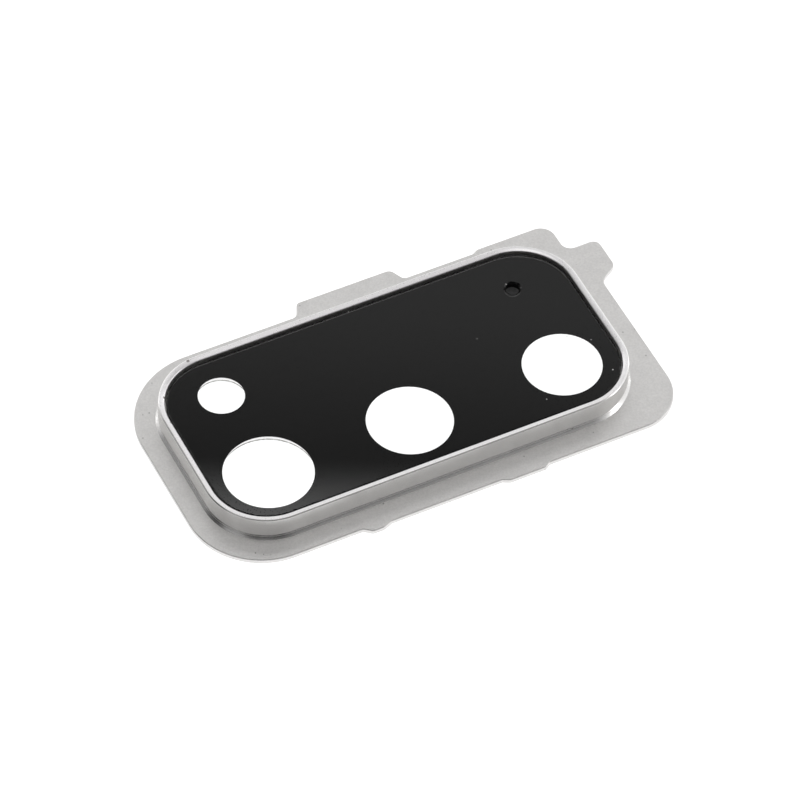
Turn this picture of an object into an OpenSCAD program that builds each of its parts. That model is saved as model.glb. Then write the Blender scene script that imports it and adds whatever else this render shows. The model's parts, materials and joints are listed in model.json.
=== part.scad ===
// Rear camera cover of a phone: a one-piece aluminium bezel with a bonded cover glass.
// Millimetres, +Z up and out of the phone's back. The origin is the centre of the raised
// ring, on the plane of the flange's underside. +X runs from the main lens to the far lens.

/* [Raised ring] */
// Opening inside the rim, along X
opening_w = 35.1; // [34.6:0.1:35.6]
// Opening inside the rim, along Y
opening_d = 16.8; // [16.6:0.1:17.2]
// Corner radius of the opening
opening_r = 4.55; // [4.3:0.05:4.8]
// Height of the rim's crest above the underside
crest_z = 2.55; // [2.5:0.05:3]
// Width of the rim where the outer wall meets it
rim_w = 0.5; // [0.45:0.01:0.6]
// Fall of the rim from its crest to its inner edge
rim_fall = 0.11; // [0.05:0.01:0.2]
// Chamfer between the rim and the outer wall
rim_chamfer = 0.08; // [0.04:0.01:0.12]

/* [Flange] */
// Thickness of the flange that sits inside the phone's back panel
flange_t = 0.4; // [0.3:0.05:0.5]
// Distance from the ring's centre to the flange's left edge
flange_left = 19.9; // [19.4:0.1:20.4]
// Distance from the ring's centre to the flange's right edge
flange_right = 20.55; // [20.2:0.05:21]
// Distance from the ring's centre to the flange's front edge
flange_front = 11.02; // [10.9:0.02:11.2]
// Distance from the ring's centre to the flange's back edge
flange_back = 10.85; // [10.6:0.05:11.1]
// How far the back tab stands out of the back edge
back_tab = 1.29; // [0.8:0.01:1.6]
// How far the right tab stands out of the right edge
right_tab = 1.7; // [1.2:0.1:2]
// How far the two small nibs stand out of the front edge
front_nib = 0.3; // [0.1:0.05:0.4]
// Radius of the cove between the ring's wall and the flange
cove_r = 0.2; // [0.12:0.02:0.26]

/* [Lens windows] */
// Distance of the row of lenses in front of the ring's centre
lens_row = 3.69; // [3.5:0.01:3.75]
// Distance of the flash and the microphone port behind the ring's centre
flash_row = 4.83; // [4.5:0.01:5]
// X of the main lens and the flash
main_x = -12.69; // [-12.8:0.01:-12.6]
// X of the middle lens
mid_x = -0.51; // [-1:0.01:0]
// X of the far lens and the microphone port
far_x = 12.87; // [12.6:0.01:12.95]
// Radius of the main lens's window
main_r = 3.57; // [3.3:0.01:3.6]
// Radius of the middle lens's window
mid_r = 3.44; // [3.2:0.01:3.5]
// Radius of the far lens's window
far_r = 3.19; // [3:0.01:3.3]
// Radius of the flash's window
flash_r = 1.85; // [1.6:0.01:2]
// Radius of the microphone hole in the glass
mic_r = 0.6; // [0.4:0.05:0.7]

/* [Glass stack] */
// Depth of the glass's face below the rim's inner edge
glass_recess = 0.2; // [0.15:0.01:0.35]
// Thickness of the cover glass
glass_t = 0.6; // [0.5:0.05:0.7]
// Gap all round between the glass and the rim
glass_gap = 0.1; // [0.05:0.01:0.15]
// Chamfer round the glass's top edge
glass_chamfer = 0.14; // [0.08:0.01:0.2]
// Thickness of the black print under the glass
print_t = 0.04; // [0.02:0.01:0.06]
// Thickness of the adhesive that bonds the glass
bond_t = 0.1; // [0.06:0.01:0.15]
// Thickness of the web that the glass is bonded to
web_t = 0.55; // [0.4:0.05:0.6]

/* [Seals] */
// Thickness of the foam seals under the web
seal_t = 0.2; // [0.1:0.05:0.3]
// Inner radius of the main and the far lens's seals
seal_r = 3.95; // [3.85:0.05:4]
// Inner radius of the middle lens's seal
mid_seal_r = 4.14; // [4.05:0.01:4.15]
// Outer radius of the three lens seals
seal_outer_r = 4.48; // [4.4:0.01:4.5]
// Inner radius of the flash's seal
flash_seal_r = 2.3; // [2.1:0.05:2.4]
// Width of the flash's and the microphone's seals
small_seal_w = 0.6; // [0.4:0.05:0.8]
// Radius of the microphone's dust mesh
mesh_r = 1.2; // [1:0.05:1.4]
// Thickness of the dust mesh
mesh_t = 0.06; // [0.04:0.01:0.07]

/* [Hidden] */

eps = 0.01;                                // overshoot of a cut
bite = 0.2;                                // how far the flange and web reach into the wall
cavity_inset = 0.1;                        // the cavity under the web is this much narrower
rim_in_z = crest_z - rim_fall;             // the rim's inner edge
glass_top = rim_in_z - glass_recess;
glass_z = glass_top - glass_t;
print_z = glass_z - print_t;
bond_z = print_z - bond_t;
web_z = bond_z - web_t;
wall_foot = rim_w + 0.03;                  // the wall leans out by this from rim to foot
groove = [0.05, 0.2];                      // depth and height of the groove round the foot
groove_z = flange_t + cove_r + 0.06;       // underside of that groove
arc_fn = 96;
hole_fn = 96;

web_margin = 0.2;                          // the web's holes whose walls show are wider by this
main_web_r = main_r + web_margin;
mid_web_r = mid_r + 0.52;                  // wide enough to stay out of sight
far_web_r = far_r + 0.55;
flash_web_r = flash_r + web_margin;
bond_margin = 0.3;                         // adhesive kept back from its edge and the holes
port_r = mic_r + 0.05;                     // sound port through print, tape and web

main_at = [main_x, -lens_row];
mid_at = [mid_x, -lens_row];
far_at = [far_x, -lens_row];
flash_at = [main_x, flash_row];
mic_at = [far_x, flash_row];

// The flange's outline, anticlockwise from the front left: [x, y, corner radius]
left_front_y = -flange_front + 0.22;       // the front edge is set back left of the first nib
nib_y = -flange_front - front_nib;
tab_x = flange_right + right_tab;
shoulder = [19.4, flange_back + 0.28];     // the raised right end of the back edge
flange_corners = [
    [-flange_left, left_front_y, 6.1],
    [-8.02, left_front_y, 0.4], [-7.39, nib_y, 0.5], [-6.44, nib_y, 0.5],
    [-5.65, -flange_front, 0.5],
    [3.9, -flange_front, 0.3], [4.48, nib_y, 0.3], [7.58, nib_y, 0.3],
    [8.05, -flange_front, 0.3],
    [flange_right, -flange_front, 3.9],
    [flange_right, 3.9, 1.05], [tab_x, 4.9, 0.84],
    [tab_x, 8, 0.65], [shoulder.x, 8, 0.84],
    [shoulder.x, shoulder.y, 1.26], [12.98, shoulder.y, 0.3], [12.46, flange_back, 0.3],
    [6.28, flange_back, 0.5], [5.67, flange_back + back_tab, 0.6],
    [-2.64, flange_back + back_tab, 0.4], [-3.27, flange_back, 0.5],
    [-flange_left, flange_back, 6.85]
];

function unit(v) = v / norm(v);

// Points of the arc that rounds corner b, on the way from a to c
function corner_arc(a, b, c) =
    let (
        r = b[2],
        to_a = unit([a.x - b.x, a.y - b.y]),
        to_c = unit([c.x - b.x, c.y - b.y]),
        half = acos(to_a * to_c) / 2,
        centre = [b.x, b.y] + unit(to_a + to_c) * r / sin(half),
        from = [b.x, b.y] + to_a * r / tan(half) - centre,
        start = atan2(from.y, from.x),
        turn = (to_a.y * to_c.x - to_a.x * to_c.y > 0 ? 1 : -1) * (180 - 2 * half),
        steps = 3 + ceil(2 * r)
    )
    [for (i = [0:steps]) centre + r * [cos(start + turn * i / steps),
                                       sin(start + turn * i / steps)]];

function rounded_outline(corners) =
    let (n = len(corners))
    [for (i = [0:n - 1]) each corner_arc(corners[(i + n - 1) % n], corners[i],
                                         corners[(i + 1) % n])];

// Rounded rectangle as large as the ring's opening, grown by g on every side
module opening_shape(g = 0) {
    w = opening_w + 2 * g;
    d = opening_d + 2 * g;
    r = opening_r + g;
    square([w, d - 2 * r], center = true);
    square([w - 2 * r, d], center = true);
    for (x = [-1, 1], y = [-1, 1])
        translate([x * (w / 2 - r), y * (d / 2 - r)]) circle(r = r, $fn = arc_fn);
}

// Plate in the shape of the opening grown by g, from z up to z + t
module opening_plate(g, z, t) {
    translate([0, 0, z]) linear_extrude(t) opening_shape(g);
}

// Upright hole or disc at a place in plan
module round_at(at, r, z, t) {
    translate([at.x, at.y, z]) cylinder(r = r, h = t, $fn = hole_fn);
}

module ring_at(at, r_in, r_out, z, t) {
    difference() {
        round_at(at, r_out, z, t);
        round_at(at, r_in, z - eps, t + 2 * eps);
    }
}

// The ring's wall in section: x is the distance out from the opening, y is the height
module wall_section() {
    cove = [for (a = [0:15:90]) [wall_foot + cove_r * (1 - sin(a)),
                                 flange_t + cove_r * (1 - cos(a))]];
    polygon(concat(
        [[-cavity_inset, 0], [wall_foot + cove_r, 0]],
        cove,
        [[wall_foot, groove_z], [wall_foot - groove[0], groove_z + groove[0]],
         [wall_foot - groove[0], groove_z + groove[1]],
         [wall_foot, groove_z + groove[0] + groove[1]],
         [rim_w, crest_z - rim_chamfer], [rim_w - rim_chamfer, crest_z],
         [0.15, crest_z - rim_fall / 2], [0, rim_in_z],
         [0, bond_z], [-cavity_inset, bond_z]]
    ));
}

// One straight stretch of the wall, its inner face on the line y = 0
module straight_wall(run) {
    translate([-run / 2, 0, 0]) rotate([90, 0, 90]) linear_extrude(run) wall_section();
}

// The wall all round: four straights and four quarter turns
module ring_wall() {
    corner_x = opening_w / 2 - opening_r;
    corner_y = opening_d / 2 - opening_r;
    for (side = [0, 180]) rotate(side) {
        translate([0, opening_d / 2, 0]) straight_wall(2 * corner_x);
        translate([-opening_w / 2, 0, 0]) rotate(90) straight_wall(2 * corner_y);
        translate([corner_x, corner_y, 0]) corner_wall();
        translate([-corner_x, corner_y, 0]) rotate(90) corner_wall();
    }
}

module corner_wall() {
    rotate_extrude(angle = 90, $fn = arc_fn) translate([opening_r, 0]) wall_section();
}

module flange() {
    linear_extrude(flange_t) difference() {
        polygon(rounded_outline(flange_corners));
        opening_shape(bite);
    }
}

module web() {
    difference() {
        opening_plate(bite, web_z, web_t);
        round_at(main_at, main_web_r, web_z - eps, web_t + 2 * eps);
        round_at(mid_at, mid_web_r, web_z - eps, web_t + 2 * eps);
        round_at(far_at, far_web_r, web_z - eps, web_t + 2 * eps);
        round_at(flash_at, flash_web_r, web_z - eps, web_t + 2 * eps);
        round_at(mic_at, port_r, web_z - eps, web_t + 2 * eps);
    }
}

module bezel_frame() {
    color("silver") union() {
        ring_wall();
        flange();
        web();
    }
}

// Glass: a plate whose chamfered top edge is made of straight bevels and cone corners
module cover_glass() {
    g = -glass_gap;
    color([0.1, 0.1, 0.11, 0.5]) difference() {
        union() {
            opening_plate(g, glass_z, glass_t - glass_chamfer);
            glass_bevel(g);
        }
        round_at(mic_at, mic_r, glass_z - eps, glass_t + 2 * eps);
    }
}

module glass_bevel(g) {
    r = opening_r + g;
    x = opening_w / 2 - opening_r;
    y = opening_d / 2 - opening_r;
    c = glass_chamfer;
    section = [[0, 0], [r, 0], [r - c, c], [0, c]];
    translate([0, 0, glass_top - c]) {
        linear_extrude(c) square([2 * x, 2 * y], center = true);
        for (side = [0, 180]) rotate(side) {
            translate([-x, y, 0]) rotate([90, 0, 90]) linear_extrude(2 * x) polygon(section);
            translate([-x, -y, 0]) rotate(90) rotate([90, 0, 90])
                linear_extrude(2 * y) polygon(section);
            translate([x, y, 0]) rotate_extrude(angle = 90, $fn = arc_fn) polygon(section);
            translate([-x, y, 0]) rotate(90) rotate_extrude(angle = 90, $fn = arc_fn)
                polygon(section);
        }
    }
}

module print_mask() {
    color([0.04, 0.04, 0.045]) difference() {
        opening_plate(-glass_gap, print_z, print_t);
        round_at(main_at, main_r, print_z - eps, print_t + 2 * eps);
        round_at(mid_at, mid_r, print_z - eps, print_t + 2 * eps);
        round_at(far_at, far_r, print_z - eps, print_t + 2 * eps);
        round_at(flash_at, flash_r, print_z - eps, print_t + 2 * eps);
        round_at(mic_at, port_r, print_z - eps, print_t + 2 * eps);
    }
}

module glass_bond() {
    m = bond_margin;
    color([0.16, 0.16, 0.17]) difference() {
        opening_plate(-m, bond_z, bond_t);
        round_at(main_at, main_web_r + m, bond_z - eps, bond_t + 2 * eps);
        round_at(mid_at, mid_web_r + 0.7 * m, bond_z - eps, bond_t + 2 * eps);
        round_at(far_at, far_web_r + 0.7 * m, bond_z - eps, bond_t + 2 * eps);
        round_at(flash_at, flash_web_r + m, bond_z - eps, bond_t + 2 * eps);
        round_at(mic_at, mesh_r + eps, bond_z - eps, bond_t + 2 * eps);
    }
}

module foam_ring(at, r_in, r_out) {
    color([0.13, 0.13, 0.14]) ring_at(at, r_in, r_out, web_z - seal_t, seal_t);
}

module main_lens_seal() { foam_ring(main_at, seal_r, seal_outer_r); }

module mid_lens_seal() { foam_ring(mid_at, mid_seal_r, seal_outer_r); }

module far_lens_seal() { foam_ring(far_at, seal_r, seal_outer_r); }

module flash_seal() { foam_ring(flash_at, flash_seal_r, flash_seal_r + small_seal_w); }

module mic_gasket() { foam_ring(mic_at, port_r + 0.15, port_r + 0.15 + small_seal_w); }

module mic_mesh() {
    color([0.2, 0.2, 0.21]) round_at(mic_at, mesh_r, print_z - mesh_t, mesh_t);
}

module mic_mesh_tape() {
    color([0.7, 0.68, 0.62]) ring_at(mic_at, port_r, mesh_r, bond_z, bond_t - mesh_t);
}

bezel_frame();
cover_glass();
print_mask();
glass_bond();
main_lens_seal();
mid_lens_seal();
far_lens_seal();
flash_seal();
mic_mesh();
mic_mesh_tape();
mic_gasket();
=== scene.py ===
"""Looks of a phone's rear camera cover: satin aluminium bezel, cover glass and what is under it."""
import json
import math

import bmesh
import bpy
from mathutils import Matrix, Vector
from mathutils.geometry import tessellate_polygon


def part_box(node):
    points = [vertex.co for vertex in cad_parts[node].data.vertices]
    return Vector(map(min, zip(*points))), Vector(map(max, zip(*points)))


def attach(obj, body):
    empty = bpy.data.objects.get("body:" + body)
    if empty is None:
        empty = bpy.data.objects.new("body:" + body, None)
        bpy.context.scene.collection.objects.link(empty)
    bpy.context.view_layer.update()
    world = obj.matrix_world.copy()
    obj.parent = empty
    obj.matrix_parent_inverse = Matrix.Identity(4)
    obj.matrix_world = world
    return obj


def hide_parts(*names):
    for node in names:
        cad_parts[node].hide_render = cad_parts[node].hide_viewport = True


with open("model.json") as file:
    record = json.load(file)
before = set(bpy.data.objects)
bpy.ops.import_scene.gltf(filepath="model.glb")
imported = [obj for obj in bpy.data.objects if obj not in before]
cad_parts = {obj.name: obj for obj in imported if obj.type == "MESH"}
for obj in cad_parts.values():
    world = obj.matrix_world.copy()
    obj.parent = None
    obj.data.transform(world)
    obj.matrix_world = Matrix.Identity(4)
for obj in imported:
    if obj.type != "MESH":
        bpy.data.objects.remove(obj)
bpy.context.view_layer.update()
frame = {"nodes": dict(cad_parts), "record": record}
MM = 0.001  # one millimetre in Blender's metres


def box_mm(node):
    """Lowest and highest corner of a CAD node, in millimetres."""
    low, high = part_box(node)
    return low / MM, high / MM


def mount(name):
    """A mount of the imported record: its place in millimetres and its sizes."""
    row = next(m for m in frame["record"]["mounts"] if m["name"] == name)
    return Vector(row["pos_m"]) / MM, row["dims"]


# ---- Sizes in millimetres, most of them read from the CAD nodes ----
BEZEL_LOW, BEZEL_HIGH = box_mm("bezel_frame")
GLASS_LOW, GLASS_HIGH = box_mm("cover_glass")
PRINT_LOW, PRINT_HIGH = box_mm("print_mask")
BOND_LOW = box_mm("glass_bond")[0]
SEAL_HIGH = box_mm("main_lens_seal")[1]

GLASS_GAP = 0.1          # between the glass and the rim
OPENING = (GLASS_HIGH.x + GLASS_GAP, GLASS_HIGH.y + GLASS_GAP)  # half width and half depth
OPENING_R = 4.55         # corner radius of the ring's opening
CREST_Z = BEZEL_HIGH.z
RIM_FALL = 0.11          # the rim's inner edge is this much lower than its crest
RIM_W = 0.5
RIM_CHAMFER = 0.08
WALL_LEAN = 0.03         # the wall's foot stands out by this
FLANGE_T = mount("panel_seat")[0].z
COVE_R = 0.2
GROOVE_DEEP = 0.05
GROOVE_HIGH = 0.2
GROOVE_Z = FLANGE_T + COVE_R + 0.06
WEB_TOP = BOND_LOW.z
WEB_UNDER = SEAL_HIGH.z
CAVITY_INSET = 0.1
EDGE_BREAK = 0.05        # chamfer of the flange's edges
CAVITY_EDGE = 0.03       # chamfer of the cavity's lower edge
CAVITY_CORNER = 0.05     # chamfer between the cavity's side and the web
BORE_CHAMFER = 0.04
BURR_HIGH = 0.17         # the torn lower part of each bore's wall
GLASS_CHAMFER = 0.14     # width of the glass's chamfer
GLASS_CHAMFER_FALL = 0.84  # its depth as a share of its width
GLASS_NICK = 0.01        # the glass's lower edge is broken by this
MIC_LIP = 0.1            # chamfer at the top of the microphone's hole
INK_INSET = 0.02         # the ink ends this far inside the glass's edge
INK_WETTING = 0.0015     # the ink reaches this far into the glass, so that no air gap shows
FOAM_ROUNDING = 0.06     # reach of the foam's rounded edges

MAIN_AT, MAIN_BORE = mount("main_lens_bore")
MID_AT, MID_BORE = mount("mid_lens_bore")
FAR_AT, FAR_BORE = mount("far_lens_bore")
FLASH_AT, FLASH_BORE = mount("flash_bore")
MIC_AT = Vector((FAR_AT.x, FLASH_AT.y, 0))
MAIN_WINDOW, MID_WINDOW, FAR_WINDOW, FLASH_WINDOW = 3.57, 3.44, 3.19, 1.85  # radii
MIC_HOLE = 0.6           # radius of the hole in the glass
PORT_R = 0.65            # radius of the sound port through the ink and the web
SEAL_HOLES = {           # inner radii of the foam rings
    "main_lens_seal": 3.95, "mid_lens_seal": 4.14, "far_lens_seal": 3.95,
    "flash_seal": 2.3, "mic_gasket": 0.8,
}

# The flange's outline, anticlockwise from the front left: x, y, corner radius
LEFT, RIGHT = BEZEL_LOW.x, 20.55
FRONT, BACK = -11.02, 10.85
NIB, LEFT_FRONT = BEZEL_LOW.y, -10.8
BACK_TAB, RIGHT_TAB = BEZEL_HIGH.y, BEZEL_HIGH.x
SHOULDER_X, SHOULDER_Y = 19.4, 11.13
FLANGE_CORNERS = [
    (LEFT, LEFT_FRONT, 6.1),
    (-8.02, LEFT_FRONT, 0.4), (-7.39, NIB, 0.5), (-6.44, NIB, 0.5), (-5.65, FRONT, 0.5),
    (3.9, FRONT, 0.3), (4.48, NIB, 0.3), (7.58, NIB, 0.3), (8.05, FRONT, 0.3),
    (RIGHT, FRONT, 3.9),
    (RIGHT, 3.9, 1.05), (RIGHT_TAB, 4.9, 0.84), (RIGHT_TAB, 8.0, 0.65),
    (SHOULDER_X, 8.0, 0.84), (SHOULDER_X, SHOULDER_Y, 1.26),
    (12.98, SHOULDER_Y, 0.3), (12.46, BACK, 0.3),
    (6.28, BACK, 0.5), (5.67, BACK_TAB, 0.6), (-2.64, BACK_TAB, 0.4), (-3.27, BACK, 0.5),
    (LEFT, BACK, 6.85),
]


# ---- Paths: lists of (point, outward normal) in plan ----
def arc_points(centre, radius, start, turn, steps, sign=1):
    """Points along an arc, each with its outward normal; sign is -1 on a hollow corner."""
    out = []
    for i in range(steps + 1):
        a = start + turn * i / steps
        normal = Vector((math.cos(a), math.sin(a)))
        out.append((centre + normal * radius, normal * sign))
    return out


def rounded_outline(corners, step=0.12):
    """Path of a polygon whose corners are rounded, arcs cut into stretches of about step."""
    path = []
    for i, (x, y, radius) in enumerate(corners):
        here = Vector((x, y))
        to_last = (Vector(corners[i - 1][:2]) - here).normalized()
        to_next = (Vector(corners[(i + 1) % len(corners)][:2]) - here).normalized()
        half = to_last.angle(to_next) / 2
        centre = here + (to_last + to_next).normalized() * radius / math.sin(half)
        first = here + to_last * radius / math.tan(half) - centre
        hollow = to_last.x * to_next.y - to_last.y * to_next.x > 0
        turn = (math.pi - 2 * half) * (-1 if hollow else 1)
        steps = max(3, math.ceil(abs(turn) * radius / step))
        start = math.atan2(first.y, first.x)
        path += arc_points(centre, radius, start, turn, steps, -1 if hollow else 1)
    return path


def rounded_rectangle(half_w, half_d, radius, corner_steps=28, straight_steps=12):
    """Path round a rectangle with rounded corners, anticlockwise from the right side's foot."""
    path = []
    quarter = math.pi / 2
    signs = [(1, 1), (-1, 1), (-1, -1), (1, -1)]
    for k, (sx, sy) in enumerate(signs):
        centre = Vector((sx * (half_w - radius), sy * (half_d - radius)))
        arc = arc_points(centre, radius, k * quarter, quarter, corner_steps)
        nx, ny = signs[(k + 1) % 4]
        following = Vector((nx * (half_w - radius), ny * (half_d - radius)))
        end, normal = arc[-1]
        run = following + normal * radius - end
        path += arc
        path += [(end + run * i / straight_steps, normal) for i in range(1, straight_steps)]
    return path


def circle(at, radius, steps=96):
    """Path round a circle, anticlockwise."""
    return arc_points(Vector(at[:2]), radius, 0, 2 * math.pi * (steps - 1) / steps, steps - 1)


# ---- Mesh building ----
class Shell:
    """A mesh under construction: loops of points in millimetres, joined by strips and caps."""

    def __init__(self, name):
        self.name = name
        self.mesh = bmesh.new()

    def loop(self, path, out, z):
        """A closed row of vertices: the path moved out along its normals, at height z."""
        return [
            self.mesh.verts.new((*((p + n * out) * MM), z * MM)) for p, n in path
        ]

    def strip(self, low, high, slot=0):
        """Quads between two loops of the same length; they face out if high is above low."""
        count = len(low)
        for i in range(count):
            j = (i + 1) % count
            face = self.mesh.faces.new((low[i], low[j], high[j], high[i]))
            face.material_index = slot

    def sweep(self, path, section, slots=None):
        """Loops along a section of (out, z), joined in turn; returns the first and last."""
        loops = [self.loop(path, out, z) for out, z in section]
        for i in range(len(loops) - 1):
            self.strip(loops[i], loops[i + 1], slots[i] if slots else 0)
        return loops[0], loops[-1]

    def cap(self, loops, up, slot=0):
        """A flat face with holes: the first loop is its edge, the others are its holes."""
        verts = [v for loop in loops for v in loop]
        for a, b, c in tessellate_polygon([[v.co for v in loop] for loop in loops]):
            points = [verts[a], verts[b], verts[c]]
            normal = (points[1].co - points[0].co).cross(points[2].co - points[0].co)
            if (normal.z > 0) != up:
                points.reverse()
            self.mesh.faces.new(points).material_index = slot

    def finish(self, materials, sharp=40.0):
        """The object, smooth except across edges sharper than the angle, flats kept flat."""
        bmesh.ops.recalc_face_normals(self.mesh, faces=self.mesh.faces)
        data = bpy.data.meshes.new(self.name)
        self.mesh.to_mesh(data)
        self.mesh.free()
        for material in materials:
            data.materials.append(material)
        data.shade_smooth()
        data.set_sharp_from_angle(angle=math.radians(sharp))
        piece = bpy.data.objects.new(self.name, data)
        bpy.context.scene.collection.objects.link(piece)
        weighted = piece.modifiers.new("flat_faces", "WEIGHTED_NORMAL")
        weighted.keep_sharp = True
        weighted.weight = 90
        return piece


def rounded_step(start, corner, end, radius, steps=3):
    """Points of a section that rounds the corner between start and end."""
    a, b, c = Vector(start), Vector(corner), Vector(end)
    to_a, to_c = (a - b).normalized(), (c - b).normalized()
    half = to_a.angle(to_c) / 2
    reach = radius / math.tan(half)
    centre = b + (to_a + to_c).normalized() * radius / math.sin(half)
    first, last = b + to_a * reach - centre, b + to_c * reach - centre
    turn = first.angle_signed(last)
    out = []
    for i in range(steps + 1):
        spin = Matrix.Rotation(-turn * i / steps, 2)
        out.append(tuple(centre + spin @ first))
    return out


# ---- Materials ----
def new_material(name):
    """A new material with its node tree and its shader."""
    material = bpy.data.materials.new(name)
    material.use_nodes = True
    nodes = material.node_tree.nodes
    return material, material.node_tree, nodes["Principled BSDF"]


def node(tree, kind, **inputs):
    """A node with its inputs set; underscores in a name stand for spaces."""
    made = tree.nodes.new(kind)
    for key, value in inputs.items():
        made.inputs[key.replace("_", " ")].default_value = value
    return made


def noise(tree, scale, detail=3.0, rough=0.55):
    """Fractal noise in the object's own space; scale is in waves per metre."""
    place = tree.nodes.new("ShaderNodeTexCoord")
    made = node(tree, "ShaderNodeTexNoise", Scale=scale, Detail=detail, Roughness=rough)
    tree.links.new(place.outputs["Object"], made.inputs["Vector"])
    return made.outputs["Fac"]


def ramp(tree, source, low, high, low_value, high_value):
    """source between low and high, spread over two values; both may be colours."""
    made = tree.nodes.new("ShaderNodeValToRGB")
    made.color_ramp.elements[0].position = low
    made.color_ramp.elements[1].position = high

    def colour(value):
        return (*value, 1) if isinstance(value, tuple) else (value, value, value, 1)

    made.color_ramp.elements[0].color = colour(low_value)
    made.color_ramp.elements[1].color = colour(high_value)
    tree.links.new(source, made.inputs["Fac"])
    return made.outputs["Color"]


def along(tree, direction, way):
    """How far the direction points along the way, from -1 to 1."""
    made = tree.nodes.new("ShaderNodeVectorMath")
    made.operation = "DOT_PRODUCT"
    made.inputs[1].default_value = way
    tree.links.new(direction, made.inputs[0])
    return made.outputs["Value"]


def smooth_step(tree, source, low, high, top=1.0):
    """0 below low, top above high and smooth between."""
    made = tree.nodes.new("ShaderNodeMapRange")
    made.interpolation_type = "SMOOTHSTEP"
    made.inputs["From Min"].default_value = low
    made.inputs["From Max"].default_value = high
    made.inputs["To Max"].default_value = top
    tree.links.new(source, made.inputs["Value"])
    return made.outputs["Result"]


def maths(tree, operation, a, b):
    """Two values added, multiplied or the like."""
    made = tree.nodes.new("ShaderNodeMath")
    made.operation = operation
    tree.links.new(a, made.inputs[0])
    tree.links.new(b, made.inputs[1])
    return made.outputs["Value"]


SIDE_STARTS, SIDE_FULL = 0.012, 0.018  # metres from the centre: where a one-sided scatter fades in


def specks(tree, scale, size, share, way=None):
    """1 on sparse small round specks and 0 elsewhere; with a way, only on that side.

    The scale is in cells per metre, size is a speck's radius in cells, share is how many cells
    have one.
    """
    place = tree.nodes.new("ShaderNodeTexCoord")
    cells = node(tree, "ShaderNodeTexVoronoi", Scale=scale)
    tree.links.new(place.outputs["Object"], cells.inputs["Vector"])
    small = smooth_step(tree, cells.outputs["Distance"], size, size * 0.5)
    split = tree.nodes.new("ShaderNodeSeparateColor")
    tree.links.new(cells.outputs["Color"], split.inputs["Color"])
    some = smooth_step(tree, split.outputs["Red"], 1 - share, 1 - share + 0.01)
    found = maths(tree, "MULTIPLY", small, some)
    if way:
        out_there = along(tree, place.outputs["Object"], way)
        side = smooth_step(tree, out_there, SIDE_STARTS, SIDE_FULL)
        found = maths(tree, "MULTIPLY", found, side)
    return found


def darkened(tree, colour, amount, dark):
    """The colour, which turns to the dark one as amount goes from 0 to 1."""
    mix = tree.nodes.new("ShaderNodeMix")
    mix.data_type = "RGBA"
    mix.inputs["B"].default_value = (*dark, 1)
    tree.links.new(amount, mix.inputs["Factor"])
    tree.links.new(colour, mix.inputs["A"])
    return mix.outputs["Result"]


def bump(tree, shader, height, distance, strength=1.0):
    """Relief from a height between 0 and 1; distance is in metres."""
    made = node(tree, "ShaderNodeBump", Strength=strength, Distance=distance)
    tree.links.new(height, made.inputs["Height"])
    tree.links.new(made.outputs["Normal"], shader.inputs["Normal"])


NICKED_SIDE = (-0.8, 0.6, 0.0)   # the back left of the rim
DUSTY_SIDE = (0.95, -0.3, 0.0)   # the glass beyond the far window


def satin_aluminium():
    """Bead-blasted and clear anodised aluminium: fine grain, faint mottling."""
    material, tree, shader = new_material("bezel_satin_aluminium")
    shader.inputs["Metallic"].default_value = 1.0
    mottle = noise(tree, 900, 4)
    colour = ramp(tree, mottle, 0.3, 0.7, (0.745, 0.736, 0.726), (0.795, 0.785, 0.774))
    colour = darkened(tree, colour, specks(tree, 2000, 0.16, 0.08), (0.28, 0.27, 0.26))
    grain = ramp(tree, noise(tree, 6000, 2, 0.8), 0.38, 0.62, 0.0, 0.42)
    colour = darkened(tree, colour, grain, (0.62, 0.61, 0.6))
    tree.links.new(colour, shader.inputs["Base Color"])
    rough = ramp(tree, noise(tree, 5000, 2), 0.3, 0.7, 0.40, 0.50)
    tree.links.new(rough, shader.inputs["Roughness"])
    bump(tree, shader, noise(tree, 9000, 2), 0.000012, 0.5)
    return material


def rim_aluminium():
    """The rim's top, cut bright after blasting."""
    material, tree, shader = new_material("rim_cut_aluminium")
    shader.inputs["Metallic"].default_value = 1.0
    colour = ramp(tree, noise(tree, 2500, 3), 0.3, 0.7, (0.89, 0.875, 0.88), (0.94, 0.925, 0.93))
    nicks = specks(tree, 1600, 0.3, 0.3, NICKED_SIDE)
    colour = darkened(tree, colour, nicks, (0.2, 0.18, 0.17))
    tree.links.new(colour, shader.inputs["Base Color"])
    rough = ramp(tree, noise(tree, 6000, 2), 0.3, 0.7, 0.26, 0.34)
    tree.links.new(rough, shader.inputs["Roughness"])
    bump(tree, shader, noise(tree, 9000, 2), 0.000006, 0.4)
    return material


def wall_aluminium():
    """The ring's wall and foot: milled and anodised, smoother than the flange."""
    material, tree, shader = new_material("wall_milled_aluminium")
    shader.inputs["Metallic"].default_value = 1.0
    colour = ramp(tree, noise(tree, 700, 4), 0.3, 0.7, (0.87, 0.86, 0.85), (0.92, 0.91, 0.9))
    colour = darkened(tree, colour, specks(tree, 1800, 0.14, 0.06), (0.35, 0.34, 0.33))
    tree.links.new(colour, shader.inputs["Base Color"])
    rough = ramp(tree, noise(tree, 1500, 2), 0.3, 0.7, 0.23, 0.27)
    tree.links.new(rough, shader.inputs["Roughness"])
    bump(tree, shader, noise(tree, 2500, 2), 0.000003, 0.15)
    return material


def burr_aluminium():
    """The lower edge of a punched hole: torn, dull and uneven."""
    material, tree, shader = new_material("burred_hole_edge")
    shader.inputs["Metallic"].default_value = 1.0
    torn = noise(tree, 2600, 5, 0.7)
    colour = ramp(tree, torn, 0.45, 0.58, (0.2, 0.19, 0.18), (0.6, 0.59, 0.58))
    tree.links.new(colour, shader.inputs["Base Color"])
    shader.inputs["Roughness"].default_value = 0.5
    bump(tree, shader, torn, 0.00006, 0.8)
    return material


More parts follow.
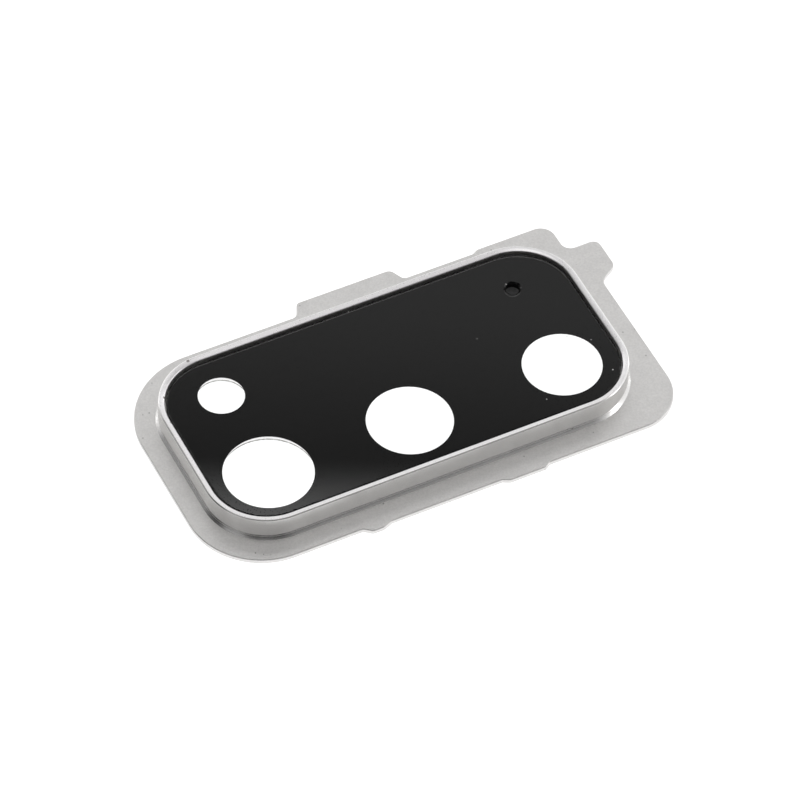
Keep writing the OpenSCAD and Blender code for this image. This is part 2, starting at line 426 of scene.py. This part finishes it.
def cover_glass_material():
    """Clear glass with a breath of tint and a few specks of pale dust."""
    material, tree, shader = new_material("clear_cover_glass")
    shader.inputs["Roughness"].default_value = 0.0
    shader.inputs["IOR"].default_value = 1.5
    tint = ramp(tree, noise(tree, 250, 4), 0.3, 0.7, (1.0, 1.0, 1.0), (0.97, 0.985, 0.98))
    tree.links.new(tint, shader.inputs["Base Color"])
    sparse = specks(tree, 500, 0.03, 0.2)
    near_the_end = specks(tree, 1300, 0.1, 0.3, DUSTY_SIDE)
    dust = ramp(tree, maths(tree, "ADD", sparse, near_the_end), 0.0, 1.0, 1.0, 0.0)
    tree.links.new(dust, shader.inputs["Transmission Weight"])
    return material


def black_print():
    """Black ink with no shine of its own: the glass in front gives all of it."""
    material, tree, shader = new_material("black_print_ink")
    colour = ramp(tree, noise(tree, 1500, 4), 0.3, 0.7, (0.001, 0.001, 0.001), (0.002, 0.002, 0.002))
    tree.links.new(colour, shader.inputs["Base Color"])
    shader.inputs["Roughness"].default_value = 0.5
    shader.inputs["Specular IOR Level"].default_value = 0.0
    return material


def plain_fine(name, low, high, rough, grain, depth):
    """A matt material with a fine grain: adhesive, foam and tape."""
    material, tree, shader = new_material(name)
    tree.links.new(ramp(tree, noise(tree, grain, 4), 0.3, 0.7, low, high), shader.inputs["Base Color"])
    shader.inputs["Roughness"].default_value = rough
    bump(tree, shader, noise(tree, grain * 2, 3), depth, 0.6)
    return material


# ---- Pieces ----
def bezel_section():
    """The ring from the web's top edge over the rim and down to the flange's top face."""
    foot = RIM_W + WALL_LEAN
    groove_in = foot - GROOVE_DEEP
    groove_top = GROOVE_Z + GROOVE_HIGH
    rim_in = CREST_Z - RIM_FALL
    knee = (0.15, CREST_Z - RIM_FALL / 2)
    crest = (RIM_W - RIM_CHAMFER, CREST_Z)
    outer = (RIM_W, CREST_Z - RIM_CHAMFER)
    # the inner edge's rounding is given point by point, steep first and then flat
    section = [(0.0, WEB_TOP), (0.0, rim_in - 0.09), (0.008, rim_in - 0.05)]
    section += [(0.03, rim_in - 0.015), (0.06, rim_in + 0.008), knee]
    section += rounded_step(knee, crest, outer, 0.02, 2)
    shine_ends = len(section) - 1
    section += [outer, (foot, groove_top + GROOVE_DEEP), (groove_in, groove_top)]
    section += [(groove_in, GROOVE_Z + GROOVE_DEEP), (foot, GROOVE_Z), (foot, FLANGE_T + COVE_R)]
    section += [(foot + COVE_R * 0.45, FLANGE_T + COVE_R * 0.5), (foot + COVE_R, FLANGE_T)]
    return section, shine_ends


def bore_section():
    """The wall of a hole in the web, chamfered at both ends, and the slot of each strip."""
    c = BORE_CHAMFER
    section = [(c, WEB_UNDER), (0, WEB_UNDER + c), (0, WEB_UNDER + BURR_HIGH), (0, WEB_TOP - c),
               (c, WEB_TOP)]
    return section, [3, 3, 1, 1]


def make_bezel(satin, rim, wall, burr):
    """The whole aluminium piece: flange, ring and web; the strips' slots follow the arguments."""
    shell = Shell("bezel_frame_finished")
    ring = rounded_rectangle(*OPENING, OPENING_R)
    section, shine_ends = bezel_section()
    slots = [0 if i < 2 else 1 if i < shine_ends else 2 for i in range(len(section) - 1)]
    flange_in, web_edge = shell.sweep(ring, section[::-1], slots[::-1])

    outline = rounded_outline(FLANGE_CORNERS)
    b = EDGE_BREAK
    edge = [(-b / 2, 0), (0, b / 2), (0, FLANGE_T - b), (-b, FLANGE_T)]
    flange_low, flange_top = shell.sweep(outline, edge)
    shell.cap([flange_top, flange_in], up=True)

    cavity = [(CAVITY_EDGE - CAVITY_INSET, 0.0), (-CAVITY_INSET, CAVITY_EDGE),
              (-CAVITY_INSET, WEB_UNDER - CAVITY_CORNER),
              (-CAVITY_INSET - CAVITY_CORNER, WEB_UNDER)]
    floor_edge, web_low = shell.sweep(ring, cavity)
    shell.cap([flange_low, floor_edge], up=False)

    holes_low, holes_top = [], []
    bores = [(MAIN_AT, MAIN_BORE["r_mm"]), (MID_AT, MID_BORE["r_mm"]),
             (FAR_AT, FAR_BORE["r_mm"]), (FLASH_AT, FLASH_BORE["r_mm"]), (MIC_AT, PORT_R)]
    for at, radius in bores:
        low, top = shell.sweep(circle(at, radius), *bore_section())
        holes_low.append(low)
        holes_top.append(top)
    shell.cap([web_low, *holes_low], up=False)
    shell.cap([web_edge, *holes_top], up=True)
    piece = shell.finish([satin, rim, wall, burr])
    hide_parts("bezel_frame")
    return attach(piece, "root")


def make_glass(material):
    """The chamfered cover glass with the microphone's hole."""
    shell = Shell("cover_glass_finished")
    edge = rounded_rectangle(GLASS_HIGH.x, GLASS_HIGH.y, OPENING_R - GLASS_GAP)
    top, low = GLASS_HIGH.z, GLASS_LOW.z
    section = [(-GLASS_NICK, low), (0, low + GLASS_NICK),
               (0, top - GLASS_CHAMFER * GLASS_CHAMFER_FALL), (-GLASS_CHAMFER, top)]
    under, over = shell.sweep(edge, section)
    hole = [(0.02, low), (0, low + 0.02), (0, top - MIC_LIP), (MIC_LIP, top)]
    hole_under, hole_over = shell.sweep(circle(MIC_AT, MIC_HOLE, 64), hole)
    shell.cap([under, hole_under], up=False)
    shell.cap([over, hole_over], up=True)
    piece = shell.finish([material], sharp=25)
    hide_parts("cover_glass")
    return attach(piece, "root")


def make_print(material):
    """The ink under the glass, with the five windows left clear."""
    shell = Shell("print_mask_finished")
    half_w, half_d = PRINT_HIGH.x - INK_INSET, PRINT_HIGH.y - INK_INSET
    edge = rounded_rectangle(half_w, half_d, OPENING_R - GLASS_GAP)
    top, low = PRINT_HIGH.z + INK_WETTING, PRINT_LOW.z
    under, over = shell.sweep(edge, [(0, low), (0, top)])
    holes = [(MAIN_AT, MAIN_WINDOW), (MID_AT, MID_WINDOW), (FAR_AT, FAR_WINDOW),
             (FLASH_AT, FLASH_WINDOW), (MIC_AT, PORT_R)]
    rims = [shell.sweep(circle(at, r), [(0, low), (0, top)]) for at, r in holes]
    shell.cap([under, *[r[0] for r in rims]], up=False)
    shell.cap([over, *[r[1] for r in rims]], up=True)
    piece = shell.finish([material])
    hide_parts("print_mask")
    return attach(piece, "root")


def make_foam_ring(name, inner, material):
    """A punched foam ring, its cut edges rounded over."""
    ring_low, ring_high = box_mm(name)
    centre = (ring_low + ring_high) / 2
    width = ring_high.x - centre.x - inner
    low, high = ring_low.z, ring_high.z
    shell = Shell(name + "_finished")
    f = FOAM_ROUNDING
    e = f / 3
    section = [(f, low), (width - f, low), (width - e, low + e), (width, low + f),
               (width, high - f), (width - e, high - e), (width - f, high), (f, high),
               (e, high - e), (0, high - f), (0, low + f), (e, low + e)]
    first, last = shell.sweep(circle(centre, inner), section)
    shell.strip(last, first)
    piece = shell.finish([material], sharp=60)
    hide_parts(name)
    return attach(piece, "root")


# ---- Stage, light and camera ----
FLOOR_R = 3000           # in mm, out of every view
FLOOR_GAP = 0.01         # in mm, so that the floor and the flange's underside never share a plane


def make_floor():
    """A white light table: pale, bright and without a shadow."""
    shell = Shell("light_table")
    rim = shell.loop(circle((0, 0), FLOOR_R, 64), 0, BEZEL_LOW.z - FLOOR_GAP)
    shell.mesh.faces.new(rim)
    material, tree, shader = new_material("white_light_table")
    shader.inputs["Base Color"].default_value = (0.2, 0.2, 0.2, 1)
    shader.inputs["Roughness"].default_value = 0.9
    shader.inputs["Emission Color"].default_value = (1, 1, 1, 1)
    shader.inputs["Emission Strength"].default_value = 1.06
    floor = shell.finish([material])


def grey_ramp(tree, source, stops):
    """A grey that follows source through the stops, each a position and a value."""
    made = tree.nodes.new("ShaderNodeValToRGB")
    made.color_ramp.interpolation = "EASE"
    row = made.color_ramp.elements
    while len(row) < len(stops):
        row.new(0.5)
    for element, (position, value) in zip(row, stops):
        element.position = position
        element.color = (value, value, value, 1)
    tree.links.new(source, made.inputs["Fac"])
    return made.outputs["Color"]


DARK_WAY = (-0.77, -0.64, 0.0)    # from the object towards the unlit side of the studio
BACK_WAY = (0.447, 0.894, 0.0)  # the way that the glass reflects
BACK_SKY = [(0.0, 0.92), (0.3, 0.92), (0.6, 0.8), (0.7, 0.64), (0.748, 0.57), (0.776, 0.26),
            (0.79, 0.28), (0.81, 0.58), (0.86, 0.56), (1.0, 0.5)]
FRONT_SKY = [(0.0, 0.04), (0.35, 0.04), (0.66, 0.06), (0.72, 0.14), (0.78, 0.58), (0.85, 0.72),
             (0.95, 0.82)]


def make_world():
    """Soft studio surroundings, seen only in reflections, in front of a white backdrop."""
    world = bpy.data.worlds.new("soft_studio")
    bpy.context.scene.world = world
    world.use_nodes = True
    tree = world.node_tree
    tree.nodes.clear()
    place = tree.nodes.new("ShaderNodeTexCoord")
    split = tree.nodes.new("ShaderNodeSeparateXYZ")
    tree.links.new(place.outputs["Generated"], split.inputs["Vector"])
    way = place.outputs["Generated"]
    sky = tree.nodes.new("ShaderNodeMix")
    sky.data_type = "RGBA"
    tree.links.new(smooth_step(tree, along(tree, way, DARK_WAY), -0.4, 0.5), sky.inputs["Factor"])
    tree.links.new(grey_ramp(tree, split.outputs["Z"], BACK_SKY), sky.inputs["A"])
    tree.links.new(grey_ramp(tree, split.outputs["Z"], FRONT_SKY), sky.inputs["B"])
    # a strip light high at the back: its lower edge just shows in the glass's nearest corner
    back = along(tree, way, BACK_WAY)
    over = smooth_step(tree, back, 0.6365, 0.6265, 1.6)
    under = smooth_step(tree, back, 0.57, 0.60)
    strip = maths(tree, "MULTIPLY", over, under)
    total = maths(tree, "ADD", sky.outputs["Result"], strip)
    studio = node(tree, "ShaderNodeBackground", Strength=1.0)
    tree.links.new(total, studio.inputs["Color"])
    backdrop = node(tree, "ShaderNodeBackground", Color=(1, 1, 1, 1), Strength=1.1)
    seen = tree.nodes.new("ShaderNodeLightPath")
    mix = tree.nodes.new("ShaderNodeMixShader")
    out = tree.nodes.new("ShaderNodeOutputWorld")
    tree.links.new(seen.outputs["Is Camera Ray"], mix.inputs["Fac"])
    tree.links.new(studio.outputs["Background"], mix.inputs[1])
    tree.links.new(backdrop.outputs["Background"], mix.inputs[2])
    tree.links.new(mix.outputs["Shader"], out.inputs["Surface"])


def make_light(name, azimuth, elevation, distance, size, power):
    """A square softbox aimed at the ring; azimuth 0 is behind the object, towards +Y."""
    a, e = math.radians(azimuth), math.radians(elevation)
    data = bpy.data.lights.new(name, "AREA")
    data.shape = "SQUARE"
    data.size = size
    data.energy = power
    light = bpy.data.objects.new(name, data)
    away = Vector((math.sin(a) * math.cos(e), math.cos(a) * math.cos(e), math.sin(e)))
    light.location = away * distance
    light.rotation_mode = "QUATERNION"
    light.rotation_quaternion = away.to_track_quat("Z", "Y")
    bpy.context.scene.collection.objects.link(light)


AIM = Vector((-0.283, -1.519, 1.892))  # where the optical axis meets the glass, in mm
VIEW_AZIMUTH, VIEW_ELEVATION, VIEW_ROLL = -28.259, 49.808, -2.288
VIEW_DISTANCE, LENS, SENSOR = 411.71, 237.45, 36.0  # in mm


def make_camera():
    """The photo's viewpoint."""
    a, e = math.radians(VIEW_AZIMUTH), math.radians(VIEW_ELEVATION)
    back = Vector((math.sin(a) * math.cos(e), -math.cos(a) * math.cos(e), math.sin(e)))
    right = Vector((math.cos(a), math.sin(a), 0))
    up = back.cross(right)
    turn = Matrix((right, up, back)).transposed()
    roll = Matrix.Rotation(-math.radians(VIEW_ROLL), 3, "Z")
    data = bpy.data.cameras.new("photo_view")
    data.lens, data.sensor_width = LENS, SENSOR
    data.clip_start, data.clip_end = 0.01, 20
    camera = bpy.data.objects.new("photo_view", data)
    place = (AIM + back * VIEW_DISTANCE) * MM
    camera.matrix_world = Matrix.LocRotScale(place, (turn @ roll).to_quaternion(), None)
    bpy.context.scene.collection.objects.link(camera)
    bpy.context.scene.camera = camera


make_camera()
make_bezel(satin_aluminium(), rim_aluminium(), wall_aluminium(), burr_aluminium())
make_glass(cover_glass_material())
make_print(black_print())

# what lies under the glass: name, darkest and lightest colour, roughness, grain, relief
FOAM = plain_fine(
    "black_seal_foam", (0.02, 0.02, 0.021), (0.05, 0.05, 0.052), 0.9, 12000, 0.00004)
ADHESIVE = plain_fine(
    "black_bond_adhesive", (0.03, 0.03, 0.032), (0.05, 0.05, 0.052), 0.55, 4000, 0.00001)
TAPE = plain_fine(
    "cream_mesh_tape", (0.55, 0.53, 0.47), (0.66, 0.64, 0.57), 0.6, 3000, 0.00001)
WEAVE = plain_fine(
    "dust_mesh_weave", (0.02, 0.02, 0.02), (0.06, 0.06, 0.06), 0.6, 9000, 0.00002)
for name, inner in SEAL_HOLES.items():
    make_foam_ring(name, inner, FOAM)
for name, material in {"glass_bond": ADHESIVE, "mic_mesh_tape": TAPE, "mic_mesh": WEAVE}.items():
    cad = frame["nodes"][name].data  # these stay as the CAD made them
    cad.materials.clear()
    cad.materials.append(material)

make_floor()
make_world()
# azimuth and elevation in degrees, distance and size in metres, power in watts
make_light("overhead_softbox", 0, 88, 0.5, 0.3, 0.13)
make_light("left_softbox", -105, 35, 0.5, 0.25, 0.05)
make_light("right_softbox", 120, 23, 0.5, 0.08, 0.1)
bpy.context.scene.view_settings.view_transform = "Standard"
